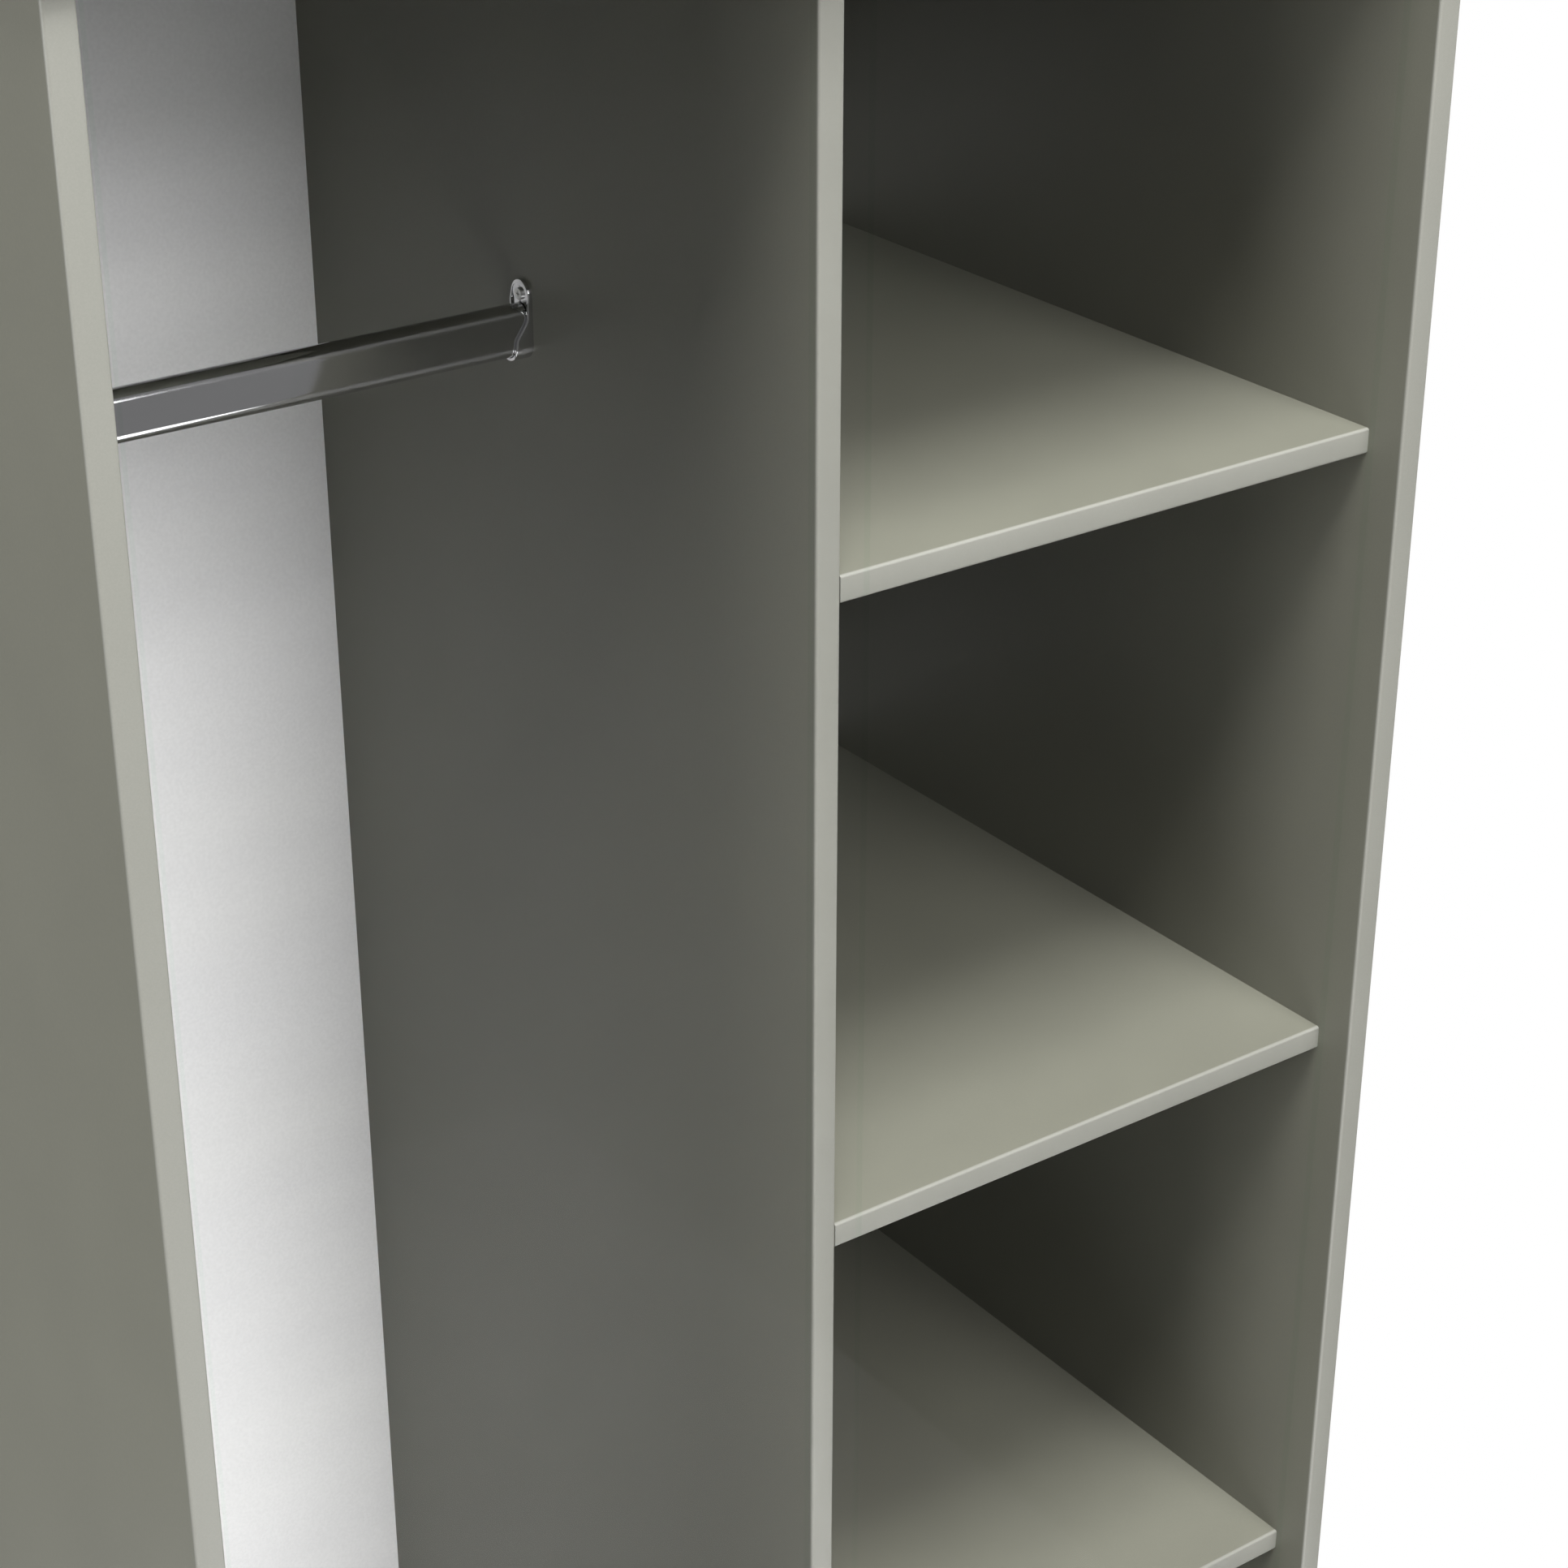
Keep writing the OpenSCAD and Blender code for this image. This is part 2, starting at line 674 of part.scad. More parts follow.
// Grooved wheel on its axle
module door_roller(i, k) {
    translate([roller_x(i)[k], lane_y[i], axle_z]) rotate([90, 0, 0]) color([0.9, 0.9, 0.88])
        rotate_extrude() difference() {
            translate([axle_r + run_gap, -roller_w / 2]) square([roller_r - axle_r - run_gap, roller_w]);
            translate([groove_r, -rib_w / 2 - 0.3]) square([roller_r, rib_w + 0.6]);
        }
}

side_left();
side_right();
top_panel();
bottom_panel();
divider();
shelf(0);  // shelf_1
shelf(1);  // shelf_2
shelf(2);  // shelf_3
shelf(3);  // shelf_4
side_edge_left();
side_edge_right();
divider_edge();
shelf_edges();
bottom_edge();
top_edges();
back_left();
back_right();
plinth_front();
plinth_rear();
plinth_middle();
hanging_rail();
rail_socket_left();
rail_socket_right();
rail_screws();
cam_locks();
cam_bolts();
cam_covers();
wood_dowels();
back_nails();
glides();
wall_brackets();
bracket_screws();
top_track();
bottom_track();
track_screws();
door_buffers();
door_glass(0);  // left_glass
door_shoe(0);  // left_shoe
door_strip(0);  // left_strip
door_end_caps(0);  // left_end_caps
door_axles(0);  // left_axles
door_guides(0);  // left_guides
door_pull(0);  // left_pull
door_roller(0, 0);  // left_roller_outer
door_roller(0, 1);  // left_roller_inner
door_glass(1);  // right_glass
door_shoe(1);  // right_shoe
door_strip(1);  // right_strip
door_end_caps(1);  // right_end_caps
door_axles(1);  // right_axles
door_guides(1);  // right_guides
door_pull(1);  // right_pull
door_roller(1, 1);  // right_roller_outer
door_roller(1, 0);  // right_roller_inner
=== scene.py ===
# %% [markdown]
# # A sliding door wardrobe, dressed on its CAD frame
# The carcass, fittings and doors come in as exact solids. This lesson gives each of
# them the finish that the real piece has, and remodels the few pieces whose shine
# depends on smooth, rounded surfaces: the oval rail, its sockets and the edge bands.

# %% Load the frame
import json
import math

import bmesh
import bpy
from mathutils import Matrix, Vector


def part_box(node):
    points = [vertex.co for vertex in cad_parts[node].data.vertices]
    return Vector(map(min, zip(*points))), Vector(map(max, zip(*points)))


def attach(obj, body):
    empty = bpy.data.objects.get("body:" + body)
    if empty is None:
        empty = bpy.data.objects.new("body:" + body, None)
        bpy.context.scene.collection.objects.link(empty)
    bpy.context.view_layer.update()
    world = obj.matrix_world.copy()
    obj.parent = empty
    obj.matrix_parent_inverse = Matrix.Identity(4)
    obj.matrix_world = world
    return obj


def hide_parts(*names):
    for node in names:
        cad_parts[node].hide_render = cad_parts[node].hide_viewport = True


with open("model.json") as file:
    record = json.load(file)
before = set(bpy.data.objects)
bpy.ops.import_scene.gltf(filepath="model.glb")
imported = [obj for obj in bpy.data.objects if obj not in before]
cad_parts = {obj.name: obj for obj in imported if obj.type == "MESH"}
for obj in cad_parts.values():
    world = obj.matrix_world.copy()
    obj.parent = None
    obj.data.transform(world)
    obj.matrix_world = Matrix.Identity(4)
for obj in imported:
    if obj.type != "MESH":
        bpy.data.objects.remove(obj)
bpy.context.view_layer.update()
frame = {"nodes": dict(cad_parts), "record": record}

nodes = frame["nodes"]
MM = 0.001

# %% [markdown]
# ## The camera
# A wardrobe's inside is best shown from the left and from above, close enough that
# the top and the plinth fall outside the view. The camera is placed from the
# divider's front edge, so it follows the wardrobe if the bays change width. It has
# no roll: only a pitch down and a turn to the right.

# %% Camera
SENSOR_MM, LENS_MM = 36, 74.86
# Metres from the foot of the divider's front edge, and above the highest shelf
TO_THE_LEFT, IN_FRONT, ABOVE_SHELF = 0.8934, 1.2126, 0.63
PITCH_DOWN, TURN_RIGHT = 26.225, 35.762
low = Vector(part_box("divider_edge")[0])
shelf_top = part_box("shelf_4")[1][2]
camera_data = bpy.data.cameras.new("camera")
camera_data.sensor_width = SENSOR_MM
camera_data.lens = LENS_MM
camera = bpy.data.objects.new("camera", camera_data)
bpy.context.collection.objects.link(camera)
camera.location = (low.x - TO_THE_LEFT, low.y - IN_FRONT, shelf_top + ABOVE_SHELF)
camera.rotation_euler = (math.radians(90 - PITCH_DOWN), 0, math.radians(-TURN_RIGHT))
bpy.context.scene.camera = camera
print("camera at", [round(v, 3) for v in camera.location])

# %% [markdown]
# ## Floor and light
# A soft light hangs almost overhead, so the top panel throws a soft slanting shadow
# over the divider, and each shelf is bright at its front edge and fades towards the
# back. Two lower ones reach the white back. They are all in front, because a light to
# the side would brighten the divider. Three more brighten the outer sides and the
# rear. A pale surround is seen behind. Polished metal would mirror that surround as
# flat white, so mirrored rays see a darker one.

# %% Stage
FLOOR_W, FLOOR_D = 2.6, 3.0
FLOOR_MIDDLE = (-0.35, -0.7, 0)
floor_mesh = bmesh.new()
bmesh.ops.create_grid(floor_mesh, x_segments=1, y_segments=1, size=1)
bmesh.ops.scale(floor_mesh, vec=(FLOOR_W / 2, FLOOR_D / 2, 1), verts=floor_mesh.verts)
bmesh.ops.translate(floor_mesh, vec=FLOOR_MIDDLE, verts=floor_mesh.verts)
floor_data = bpy.data.meshes.new("floor")
floor_mesh.to_mesh(floor_data)
floor_mesh.free()
floor = bpy.data.objects.new("floor", floor_data)
bpy.context.collection.objects.link(floor)

# The lights aim a little above the middle of the wardrobe
target = Vector((0, 0, 1.1))


def softbox(name, watts, width, height, distance, around, rise):
    """A rectangular light aimed at the wardrobe; around is degrees to the left of the front."""
    data = bpy.data.lights.new(name, "AREA")
    data.shape = "RECTANGLE"
    data.size = width
    data.size_y = height
    data.energy = watts
    light = bpy.data.objects.new(name, data)
    bpy.context.collection.objects.link(light)
    a, r = math.radians(around), math.radians(rise)
    light.location = target + distance * Vector(
        (-math.sin(a) * math.cos(r), -math.cos(a) * math.cos(r), math.sin(r)))
    light.rotation_euler = (target - light.location).to_track_quat("-Z", "Y").to_euler()
    print(name, "at", [round(v, 2) for v in light.location])


softbox("overhead", watts=440, width=2.0, height=1.6, distance=5.0, around=15, rise=70)
softbox("front", watts=195, width=1.8, height=2.8, distance=5.0, around=0, rise=44)
softbox("low_front", watts=75, width=1.6, height=1.3, distance=5.0, around=-10, rise=25)
softbox("left_side", watts=145, width=3.2, height=2.4, distance=4.2, around=92, rise=13)
softbox("right_side", watts=90, width=3.2, height=2.4, distance=4.2, around=-100, rise=13)
softbox("rear", watts=110, width=2.6, height=2.4, distance=4.5, around=180, rise=20)


# %% [markdown]
# ## Helpers for materials
# Colours are written as the hex values that a paint chart uses, and one function
# turns them to the linear values that light works with. One more function adds a
# node with its settings and its links; every material below is built with it.

# %% Colour and node helpers
def colour(hex_value):
    channels = [int(hex_value[i:i + 2], 16) / 255 for i in (0, 2, 4)]
    linear = [c / 12.92 if c <= 0.04045 else ((c + 0.055) / 1.055) ** 2.4 for c in channels]
    return (*linear, 1)


def put(tree, kind, inputs=None, **settings):
    node = tree.nodes.new(kind)
    for name, value in settings.items():
        setattr(node, name, value)
    for name, value in (inputs or {}).items():
        if isinstance(value, bpy.types.NodeSocket):
            tree.links.new(value, node.inputs[name])
        else:
            node.inputs[name].default_value = value
    return node


def blank(name):
    material = bpy.data.materials.new(name)
    material.use_nodes = True
    material.node_tree.nodes.clear()
    return material, material.node_tree


def ramp(tree, factor, stops):
    node = put(tree, "ShaderNodeValToRGB", {"Fac": factor})
    elements = node.color_ramp.elements
    while len(elements) < len(stops):
        elements.new(0.5)
    for element, (place, value) in zip(elements, stops):
        element.position = place
        element.color = value if isinstance(value, tuple) else (value, value, value, 1)
    return node.outputs["Color"]


# %% Surround and floor
world = bpy.data.worlds.new("surround")
bpy.context.scene.world = world
world.use_nodes = True
sky = world.node_tree
sky.nodes.clear()
path = put(sky, "ShaderNodeLightPath")
fill = put(sky, "ShaderNodeBackground", {"Color": (1, 1, 1, 1), "Strength": 0.04})
mirrored = put(sky, "ShaderNodeBackground", {"Color": (0.22, 0.22, 0.22, 1), "Strength": 1})
seen = put(sky, "ShaderNodeBackground", {"Color": (1, 1, 1, 1), "Strength": 1})
lit = put(sky, "ShaderNodeMixShader", {"Fac": path.outputs["Is Glossy Ray"], 1: fill.outputs[0],
                                       2: mirrored.outputs[0]})
shown = put(sky, "ShaderNodeMixShader", {"Fac": path.outputs["Is Camera Ray"], 1: lit.outputs[0],
                                         2: seen.outputs[0]})
put(sky, "ShaderNodeOutputWorld", {"Surface": shown.outputs[0]})

floor_paint, tree = blank("floor_paint")
surface = put(tree, "ShaderNodeBsdfPrincipled", {"Base Color": colour("f2f2f2"), "Roughness": 0.7})
put(tree, "ShaderNodeOutputMaterial", {"Surface": surface.outputs[0]})
floor_data.materials.append(floor_paint)
bpy.context.scene.view_settings.view_transform = "Standard"
print("surround and floor are in place")


# %% [markdown]
# ## Melamine faced particle board
# The boards are pressed particle board under a decor paper soaked in melamine
# resin. The press plate leaves a satin skin with a very fine pebble, about half a
# millimetre across, and the khaki print clouds softly over a hand's width. Noise at
# those two sizes gives the colour, the roughness and the bump.

# %% Boards and edge bands
CLOUD_MM = 111


def pressed_skin(name, tint, cloud, pebble_mm, rough, bump):
    material, tree = blank(name)
    place = put(tree, "ShaderNodeTexCoord").outputs["Object"]
    clouds = put(tree, "ShaderNodeTexNoise", {"Vector": place, "Scale": 1000 / CLOUD_MM,
                                              "Detail": 3, "Roughness": 0.6})
    pebble = put(tree, "ShaderNodeTexNoise", {"Vector": place, "Scale": 1000 / pebble_mm,
                                              "Detail": 2, "Roughness": 0.5})
    paint = put(tree, "ShaderNodeMix", {"Factor": clouds.outputs["Fac"], "A": colour(tint),
                                        "B": colour(cloud)}, data_type="RGBA")
    speck = ramp(tree, pebble.outputs["Fac"], [(0.3, 0.94), (0.7, 1.0)])
    skin = put(tree, "ShaderNodeMix", {"Factor": 1.0, "A": paint.outputs["Result"], "B": speck},
               data_type="RGBA", blend_type="MULTIPLY")
    gloss = put(tree, "ShaderNodeMapRange", {"Value": clouds.outputs["Fac"], "To Min": rough - 0.04,
                                             "To Max": rough + 0.04})
    raised = put(tree, "ShaderNodeBump", {"Height": pebble.outputs["Fac"], "Strength": bump,
                                          "Distance": 0.0001})
    surface = put(tree, "ShaderNodeBsdfPrincipled",
                  {"Base Color": skin.outputs["Result"], "Roughness": gloss.outputs["Result"],
                   "Normal": raised.outputs["Normal"], "IOR": 1.5})
    put(tree, "ShaderNodeOutputMaterial", {"Surface": surface.outputs[0]})
    return material


# Melamine skin on the boards: satin, so it shows only a broad sheen
khaki_board = pressed_skin("khaki_melamine", "67675d", "6d6d62",
                           pebble_mm=1.2, rough=0.46, bump=0.25)
# ABS band glued on the fronts: the same print and smoother; it is painted lighter and greyer than
# the boards, painted light for the front light and sheen on the front edges
band_painted_lighter = pressed_skin("edge_band_painted_lighter", "7b7b74", "81817a",
                          pebble_mm=0.9, rough=0.4, bump=0.15)
print("board and band skins made")

# %% [markdown]
# ## White lacquered fibreboard
# The back is thin hardboard with a rolled white lacquer. The roller leaves a fine
# stipple of about two millimetres and the sheet keeps broad, barely visible streaks
# along the direction of the roller, which catch the light where it grazes the back.
# The streaks are also painted a shade lighter in the colour: painted sheen.

# %% Back panel lacquer
STREAK_MM, STIPPLE_MM = 667, 2
back_lacquer, tree = blank("white_lacquer")
place = put(tree, "ShaderNodeTexCoord").outputs["Object"]
along = put(tree, "ShaderNodeMapping", {"Vector": place, "Scale": (1.0, 1.0, 7.0)})
streaks_and_sheen = put(tree, "ShaderNodeTexNoise", {"Vector": along.outputs[0],
                                           "Scale": 1000 / STREAK_MM, "Detail": 4})
stipple = put(tree, "ShaderNodeTexNoise", {"Vector": place, "Scale": 1000 / STIPPLE_MM,
                                           "Detail": 3})
# Streaks painted a shade lighter in the colour: painted sheen on the white lacquer
tone = ramp(tree, streaks_and_sheen.outputs["Fac"], [(0.35, colour("efeff0")), (0.65, colour("f4f4f4"))])
grain = ramp(tree, stipple.outputs["Fac"], [(0.35, 0.95), (0.65, 1.0)])
paint = put(tree, "ShaderNodeMix", {"Factor": 1.0, "A": tone, "B": grain}, data_type="RGBA",
            blend_type="MULTIPLY")
gloss = put(tree, "ShaderNodeMapRange", {"Value": streaks_and_sheen.outputs["Fac"], "To Min": 0.3,
                                         "To Max": 0.42})
raised = put(tree, "ShaderNodeBump", {"Height": stipple.outputs["Fac"], "Strength": 0.2,
                                      "Distance": 0.0001})
surface = put(tree, "ShaderNodeBsdfPrincipled",
              {"Base Color": paint.outputs["Result"], "Roughness": gloss.outputs["Result"],
               "Normal": raised.outputs["Normal"]})
put(tree, "ShaderNodeOutputMaterial", {"Surface": surface.outputs[0]})
print("back lacquer made")


# %% [markdown]
# ## Metals
# The rail and sockets are steel and zinc with bright chrome plating: almost a
# mirror, with the faint waviness of the drawn tube. Screws, nails, axles, cams and
# brackets are zinc plated, which is duller and clouded in small patches. The tracks,
# the profiles under the glass and the finger pulls are aluminium, brushed along
# their length and anodised.

# %% Metal finishes
def metal(name, base, other, patch_mm, stretch, rough, spread, bump):
    material, tree = blank(name)
    place = put(tree, "ShaderNodeTexCoord").outputs["Object"]
    along = put(tree, "ShaderNodeMapping", {"Vector": place, "Scale": stretch})
    patches = put(tree, "ShaderNodeTexNoise", {"Vector": along.outputs[0],
                                               "Scale": 1000 / patch_mm, "Detail": 4})
    tone = ramp(tree, patches.outputs["Fac"], [(0.3, colour(base)), (0.7, colour(other))])
    gloss = put(tree, "ShaderNodeMapRange", {"Value": patches.outputs["Fac"],
                                             "To Min": rough - spread, "To Max": rough + spread})
    raised = put(tree, "ShaderNodeBump", {"Height": patches.outputs["Fac"], "Strength": bump,
                                          "Distance": 0.00005})
    surface = put(tree, "ShaderNodeBsdfPrincipled",
                  {"Base Color": tone, "Metallic": 1.0, "Roughness": gloss.outputs["Result"],
                   "Normal": raised.outputs["Normal"]})
    put(tree, "ShaderNodeOutputMaterial", {"Surface": surface.outputs[0]})
    return material


# Chrome plate over a drawn tube: long shallow waves, hardly any blur
chrome = metal("bright_chrome", "d3d3d5", "dcdcde", patch_mm=60, stretch=(0.2, 1, 1),
               rough=0.07, spread=0.02, bump=0.05)
# Zinc plate: patchy and soft
zinc_plate = metal("zinc_plate", "b4b5b2", "c9cac8", patch_mm=4, stretch=(1, 1, 1),
                   rough=0.35, spread=0.1, bump=0.3)
# Anodised aluminium: hair-fine lines along its length, drawn 0.6 mm apart so that they show
anodised = metal("anodised_aluminium", "8c8e8f", "9a9c9d", patch_mm=0.6, stretch=(0.02, 1, 1),
                 rough=0.32, spread=0.08, bump=0.3)
print("metal finishes made")


# %% [markdown]
# ## Plastics, rubber and wood
# Glides, end caps and top guides are moulded black polypropylene with a spark
# eroded texture. Buffers and glazing strips are soft rubber. The rollers are
# turned from off-white acetal. Dowels are beech, with its short dark flecks.

# %% Moulded and soft finishes
PATCH_MM, FLECK_MM = 16.7, 4


def moulded(name, base, other, grain_mm, rough, bump, sheen=0.0):
    material, tree = blank(name)
    place = put(tree, "ShaderNodeTexCoord").outputs["Object"]
    grain = put(tree, "ShaderNodeTexVoronoi", {"Vector": place, "Scale": 1000 / grain_mm})
    patch = put(tree, "ShaderNodeTexNoise", {"Vector": place, "Scale": 1000 / PATCH_MM,
                                             "Detail": 3})
    tone = ramp(tree, patch.outputs["Fac"], [(0.3, colour(base)), (0.7, colour(other))])
    gloss = put(tree, "ShaderNodeMapRange", {"Value": grain.outputs["Distance"],
                                             "To Min": rough - 0.06, "To Max": rough + 0.06})
    raised = put(tree, "ShaderNodeBump", {"Height": grain.outputs["Distance"], "Strength": bump,
                                          "Distance": 0.0001})
    surface = put(tree, "ShaderNodeBsdfPrincipled",
                  {"Base Color": tone, "Roughness": gloss.outputs["Result"],
                   "Normal": raised.outputs["Normal"], "Sheen Weight": sheen})
    put(tree, "ShaderNodeOutputMaterial", {"Surface": surface.outputs[0]})
    return material


black_moulding = moulded("black_polypropylene", "1b1b1c", "222223",
                         grain_mm=0.6, rough=0.5, bump=0.4)
soft_rubber = moulded("soft_rubber", "1d1d1d", "262625",
                      grain_mm=0.9, rough=0.8, bump=0.25, sheen=0.1)
acetal = moulded("acetal", "dfded6", "e8e7e0", grain_mm=0.8, rough=0.3, bump=0.1)

beech, tree = blank("beech")
place = put(tree, "ShaderNodeTexCoord").outputs["Object"]
fleck = put(tree, "ShaderNodeMapping", {"Vector": place, "Scale": (1, 6, 6)})
fibres = put(tree, "ShaderNodeTexNoise", {"Vector": fleck.outputs[0],
                                          "Scale": 1000 / FLECK_MM, "Detail": 5})
tone = ramp(tree, fibres.outputs["Fac"], [(0.35, colour("b98a5c")), (0.65, colour("d8b184"))])
surface = put(tree, "ShaderNodeBsdfPrincipled", {"Base Color": tone, "Roughness": 0.6})
put(tree, "ShaderNodeOutputMaterial", {"Surface": surface.outputs[0]})
print("plastics, rubber and beech made")

# %% [markdown]
# ## Clear glass
# The doors are five millimetre low-iron glass with the anti-reflection coating of a
# display case, so it hardly shows from the front. A pane this thin hardly bends what
# is behind it, so a transparent shader with a weak mirror laid over it by the Fresnel
# law looks right and lets the lamps through. Only the outer side of each face
# mirrors: the law runs backwards on the way out and would turn the pane black. The
# cut edges show a trace of green, because light travels along the sheet there.

# %% Glass
HAZE_MM = 83
# How much of the mirror image the coating leaves
COATING = 0.05
glass, tree = blank("float_glass")
geometry = put(tree, "ShaderNodeNewGeometry")
facing = put(tree, "ShaderNodeSeparateXYZ", {"Vector": geometry.outputs["Normal"]})
across = put(tree, "ShaderNodeMath", {0: facing.outputs["Y"]}, operation="ABSOLUTE")
edge = put(tree, "ShaderNodeMath", {0: across.outputs[0], 1: 0.5}, operation="LESS_THAN")
place = put(tree, "ShaderNodeTexCoord").outputs["Object"]
haze = put(tree, "ShaderNodeTexNoise", {"Vector": place, "Scale": 1000 / HAZE_MM, "Detail": 2})
clean = ramp(tree, haze.outputs["Fac"], [(0.3, 0.99), (0.7, 1.0)])
tint = put(tree, "ShaderNodeMix", {"Factor": edge.outputs[0], "A": clean,
                                   "B": colour("fafdfb")}, data_type="RGBA")
through = put(tree, "ShaderNodeBsdfTransparent", {"Color": tint.outputs["Result"]})
shine = put(tree, "ShaderNodeBsdfGlossy", {"Roughness": 0.02, "Color": (1, 1, 1, 1)})
law = put(tree, "ShaderNodeFresnel", {"IOR": 1.5})
outside = put(tree, "ShaderNodeMath", {0: 1.0, 1: geometry.outputs["Backfacing"]},
              operation="SUBTRACT")
outer_face = put(tree, "ShaderNodeMath", {0: outside.outputs[0], 1: edge.outputs[0]},
                 operation="SUBTRACT", use_clamp=True)
coated = put(tree, "ShaderNodeMath", {0: outer_face.outputs[0], 1: COATING},
             operation="MULTIPLY")
share = put(tree, "ShaderNodeMath", {0: law.outputs[0], 1: coated.outputs[0]},
            operation="MULTIPLY")
pane = put(tree, "ShaderNodeMixShader", {"Fac": share.outputs[0], 1: through.outputs[0],
                                         2: shine.outputs[0]})
put(tree, "ShaderNodeOutputMaterial", {"Surface": pane.outputs[0]})
print("coated glass made")

# %% [markdown]
# ## Each node gets its finish
# A CAD node keeps its shape and takes a material in its own slot. The record's
# slots already say which pieces share a finish, so the list is by slot.

# %% Finishes on the CAD nodes
finishes = {
    "board": khaki_board,
    "edging": band_painted_lighter,
    "back_board": back_lacquer,
    "chrome": chrome,
    "zinc": zinc_plate,
    "timber": beech,
    "black_plastic": black_moulding,
    "rubber": soft_rubber,
    "alloy": anodised,
    "glass": glass,
    "roller": acetal,
}
for part in frame["record"]["subparts"]:
    node = nodes[part["node"]]
    node.data.materials.clear()
    node.data.materials.append(finishes[part["material_slot"]])


# %% [markdown]
# ## Edge bands with soft arrises
# The bands are the brightest lines of the carcass: their colour is painted lighter
# than the boards, as painted light, and a trimmed arris a millimetre and a half round
# catches the light all along. Each is made from a cube by bmesh, scaled to its CAD box,
# and its long front edges are bevelled with six segments, so the roundness shades
# smoothly. Only the bands of the top panel stay as CAD pieces.

# %% Remodelled edge bands
ARRIS_R = 1.5 * MM
CREASE = math.radians(40)


def finish_piece(name, shape, material, body, replaced):
    mesh = bpy.data.meshes.new(name)
    bmesh.ops.recalc_face_normals(shape, faces=shape.faces)
    for face in shape.faces:
        face.smooth = True
    shape.to_mesh(mesh)
    shape.free()
    piece = bpy.data.objects.new(name, mesh)
    bpy.context.collection.objects.link(piece)
    mesh.materials.append(material)
    mesh.set_sharp_from_angle(angle=CREASE)
    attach(piece, body)
    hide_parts(*replaced)


def add_band(shape, corner_low, corner_high, front):
    made = bmesh.ops.create_cube(shape, size=1)["verts"]
    size = Vector(corner_high) - Vector(corner_low)
    middle = (Vector(corner_high) + Vector(corner_low)) / 2
    bmesh.ops.scale(shape, vec=size, verts=made)
    bmesh.ops.translate(shape, vec=middle, verts=made)
    longest = max(range(3), key=lambda axis: size[axis])
    rim = [edge for edge in {e for v in made for e in v.link_edges}
           if abs((edge.verts[0].co - edge.verts[1].co)[longest]) > size[longest] / 2
           and (edge.verts[0].co - middle).dot(front) > 0]
    bmesh.ops.bevel(shape, geom=rim, offset=ARRIS_R, affect="EDGES", segments=6, profile=0.5,
                    material=-1)


to_front = Vector((0, -1, 0))
for name in ("side_edge_left", "side_edge_right", "divider_edge", "bottom_edge"):
    shape = bmesh.new()
    add_band(shape, *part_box(name), to_front)
    finish_piece(f"{name}_rounded", shape, band_painted_lighter, "carcass", [name])

shelf_band = bmesh.new()
band_low, band_high = (Vector(corner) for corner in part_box("shelf_edges"))
for name in ("shelf_1", "shelf_2", "shelf_3", "shelf_4"):
    board_low, board_high = (Vector(corner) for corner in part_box(name))
    add_band(shelf_band, (band_low.x, band_low.y, board_low.z),
             (band_high.x, band_high.y, board_high.z), to_front)
finish_piece("shelf_edges_rounded", shelf_band, band_painted_lighter, "carcass", ["shelf_edges"])
print("edge bands remodelled")

# %% [markdown]
# ## The oval rail
# The rail is a drawn tube, 30 by 15 millimetres, with flat sides and round top and
# bottom. Its look is all mirror: a flat side that mirrors the divider, and a round
# top that gathers the light in a thin line. A circle cut in half and drawn apart
# gives the oval. Four such rings, an outer and an inner one at each end, are bridged
# into the wall of the tube, which is shaded smooth so that no facets show.

# %% Remodelled rail
TUBE_WALL = 1.2 * MM
rail_low, rail_high = (Vector(corner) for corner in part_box("hanging_rail"))
rail_mid = (rail_low + rail_high) / 2
rail_r = (rail_high.y - rail_low.y) / 2
half_flat = (rail_high.z - rail_low.z) / 2 - rail_r


def oval_ring(shape, radius, x):
    made = bmesh.ops.create_circle(shape, segments=64, radius=radius, cap_ends=False)["verts"]
    for vert in made:
        lift = half_flat if vert.co.y > 0 else -half_flat
        vert.co = Vector((x, rail_mid.y + vert.co.x, rail_mid.z + vert.co.y + lift))
    return list({edge for vert in made for edge in vert.link_edges})


def bridge_ring(shape, loops):
    for first, second in zip(loops, loops[1:] + loops[:1]):
        bmesh.ops.bridge_loops(shape, edges=first + second)


rail = bmesh.new()
inner_r = rail_r - TUBE_WALL
rings = [oval_ring(rail, rail_r, rail_low.x), oval_ring(rail, rail_r, rail_high.x),
         oval_ring(rail, inner_r, rail_high.x), oval_ring(rail, inner_r, rail_low.x)]
bridge_ring(rail, rings)
finish_piece("oval_rail", rail, chrome, "carcass", ["hanging_rail"])
print("rail remodelled,", round((rail_high.x - rail_low.x) / MM), "mm long")

# %% [markdown]
# ## The rail sockets
# Each socket is one bright wall folded round a plate: deep under the rail, a slope,
# then a shallow rim up to the screw. Its rounded lip is what catches the light, as two
# thin lines. The wall is drawn as four closed loops, bridged into a ring, and the two
# loops of the lip are bevelled. The plate inside it keeps its screw hole.

# %% Remodelled sockets
ARC = 24
WALL, PLATE, LIP = 1.8 * MM, 2 * MM, 0.6 * MM
HOLE_R, HOLE_RISE, INTO_WALL = 1.8 * MM, 1.5 * MM, 0.3 * MM
# Height above the rail's middle, and how far the wall stands out there
LIP_STEPS = [(-9.5, 11), (-3.5, 10), (5.5, 3.8), (7.5, 3.2), (15.5, 3.2), (19.5, 2.3), (28, 2.3)]


def lip_depth(z):
    above = (z - rail_mid.z) / MM
    for (z0, d0), (z1, d1) in zip(LIP_STEPS, LIP_STEPS[1:]):
        if above <= z1:
            return (d0 + (d1 - d0) * max(0, above - z0) / (z1 - z0)) * MM
    return LIP_STEPS[-1][1] * MM


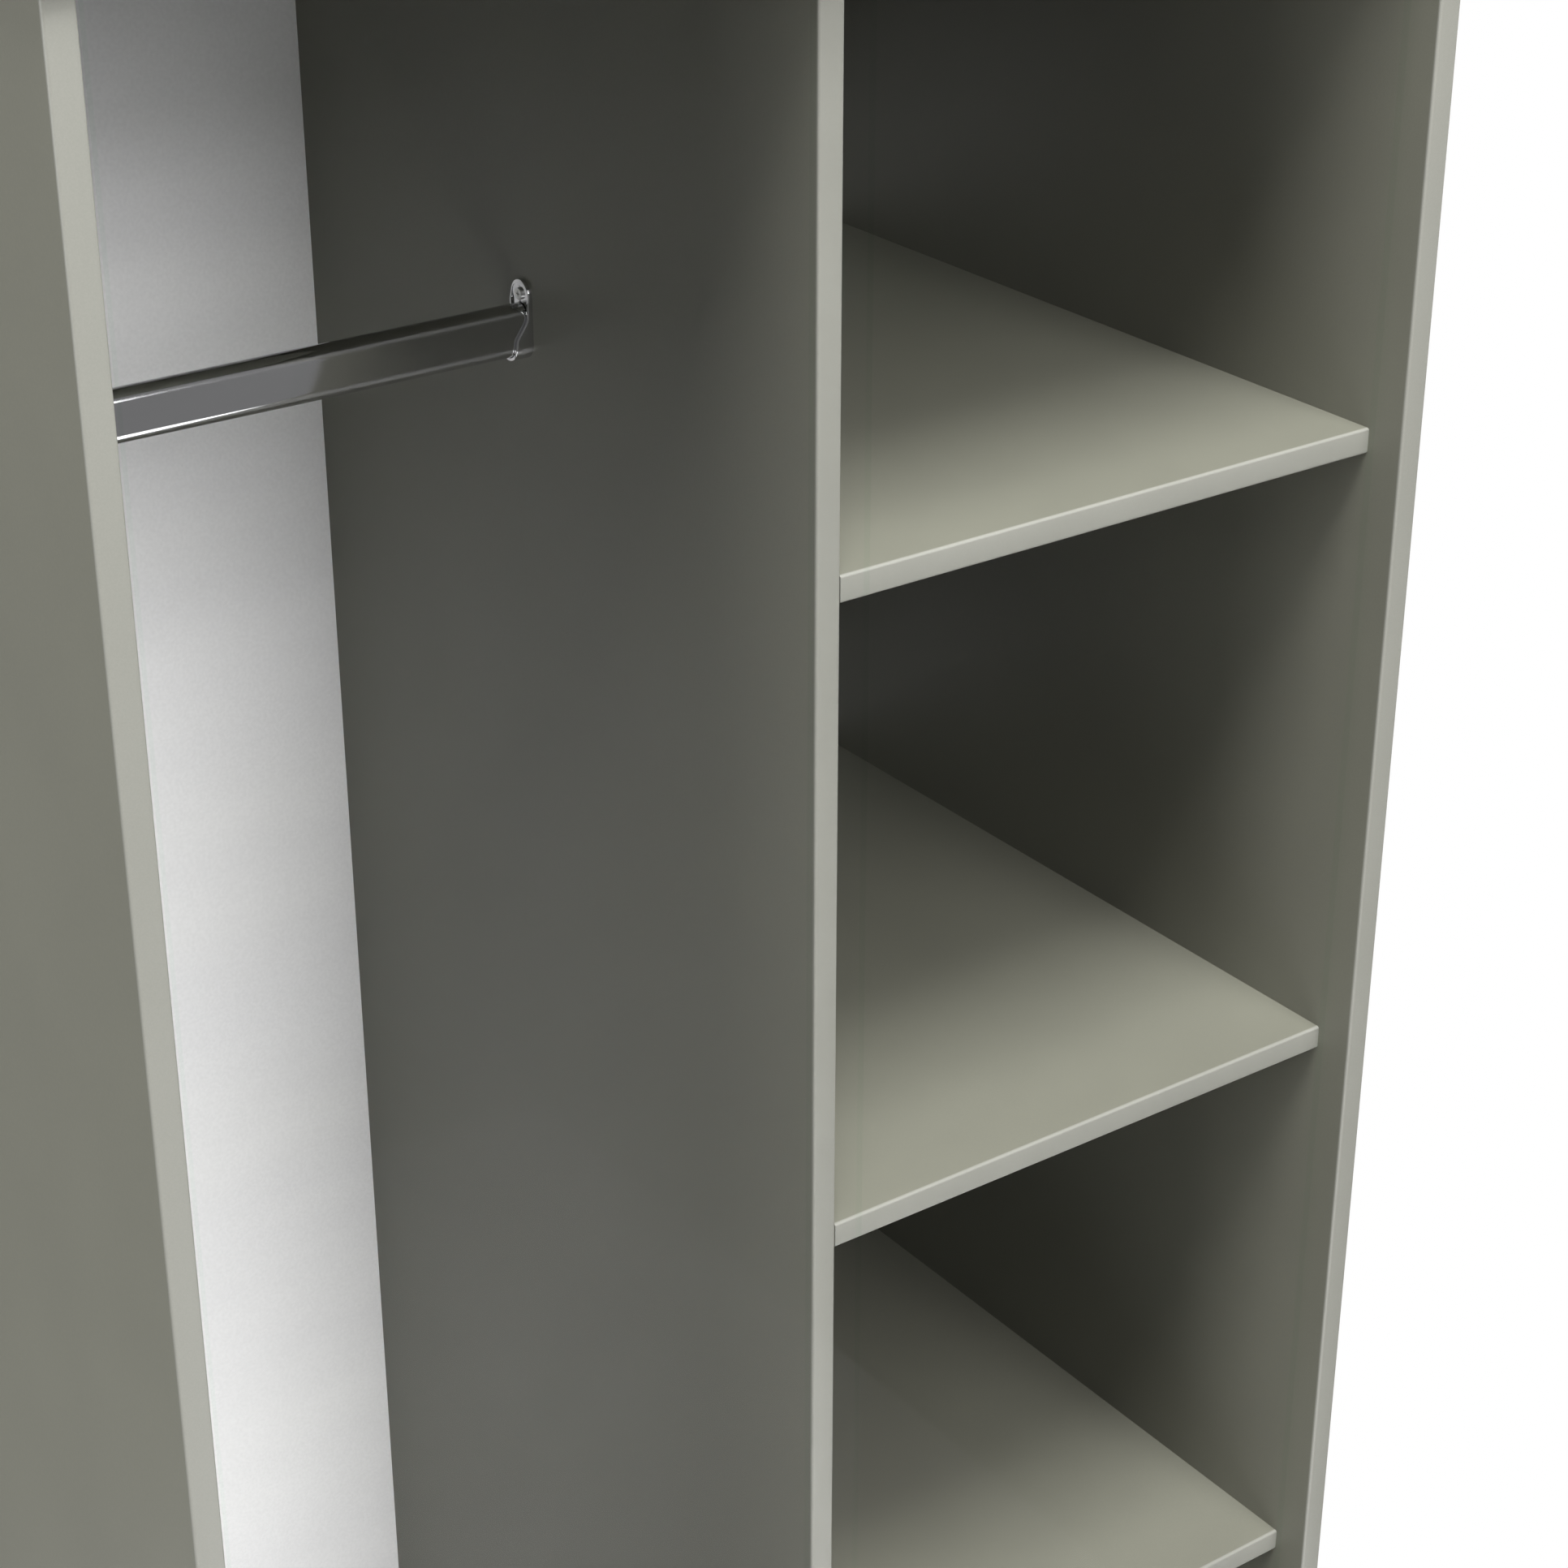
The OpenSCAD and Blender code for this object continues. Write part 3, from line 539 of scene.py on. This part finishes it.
def socket_outline(radius, low, high):
    """Round the bottom, up one side, over the top and down the other side."""
    sides = [rail_mid.z + z * MM for z, _ in LIP_STEPS[1:5]]
    points = [(-radius * math.cos(math.pi * i / ARC), low - radius * math.sin(math.pi * i / ARC))
              for i in range(ARC + 1)]
    points += [(radius, z) for z in sides]
    points += [(radius * math.cos(math.pi * i / ARC), high + radius * math.sin(math.pi * i / ARC))
               for i in range(ARC + 1)]
    return points + [(-radius, z) for z in reversed(sides)]


def closed_loop(shape, points):
    verts = [shape.verts.new(point) for point in points]
    return verts, [shape.edges.new(pair) for pair in zip(verts, verts[1:] + verts[:1])]


for name in ("rail_socket_left", "rail_socket_right"):
    box_low, box_high = (Vector(corner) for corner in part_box(name))
    wall_x, out = (box_low.x, 1) if name.endswith("left") else (box_high.x, -1)
    radius = (box_high.y - box_low.y) / 2
    low, high = box_low.z + radius, box_high.z - radius
    outer = socket_outline(radius, low, high)
    inner = socket_outline(radius - WALL, low, high)
    cup = bmesh.new()
    loops, rim = [], []
    for points, standing in ((outer, False), (outer, True), (inner, True), (inner, False)):
        verts, edges = closed_loop(cup, [
            (wall_x + out * (lip_depth(z) if standing else 0), rail_mid.y + y, z)
            for y, z in points])
        loops.append(edges)
        rim += edges if standing else []
    bridge_ring(cup, loops)
    bmesh.ops.bevel(cup, geom=rim, offset=LIP, affect="EDGES", segments=3, profile=0.5,
                    material=-1)
    # The plate, a little into the wall, with the screw hole above the upper arc's middle
    screw_z = high + HOLE_RISE
    plate = socket_outline(radius - WALL + INTO_WALL, low, high)
    hole = [(HOLE_R * math.cos(a), screw_z + HOLE_R * math.sin(a))
            for a in (math.atan2(z - screw_z, y) for y, z in plate)]
    loops = [closed_loop(cup, [(wall_x + out * depth, rail_mid.y + y, z) for y, z in points])[1]
             for points, depth in ((plate, 0), (plate, PLATE), (hole, PLATE), (hole, 0))]
    bridge_ring(cup, loops)
    finish_piece(f"{name}_folded", cup, chrome, "carcass", [name])
print("sockets remodelled with a", LIP / MM, "mm lip")
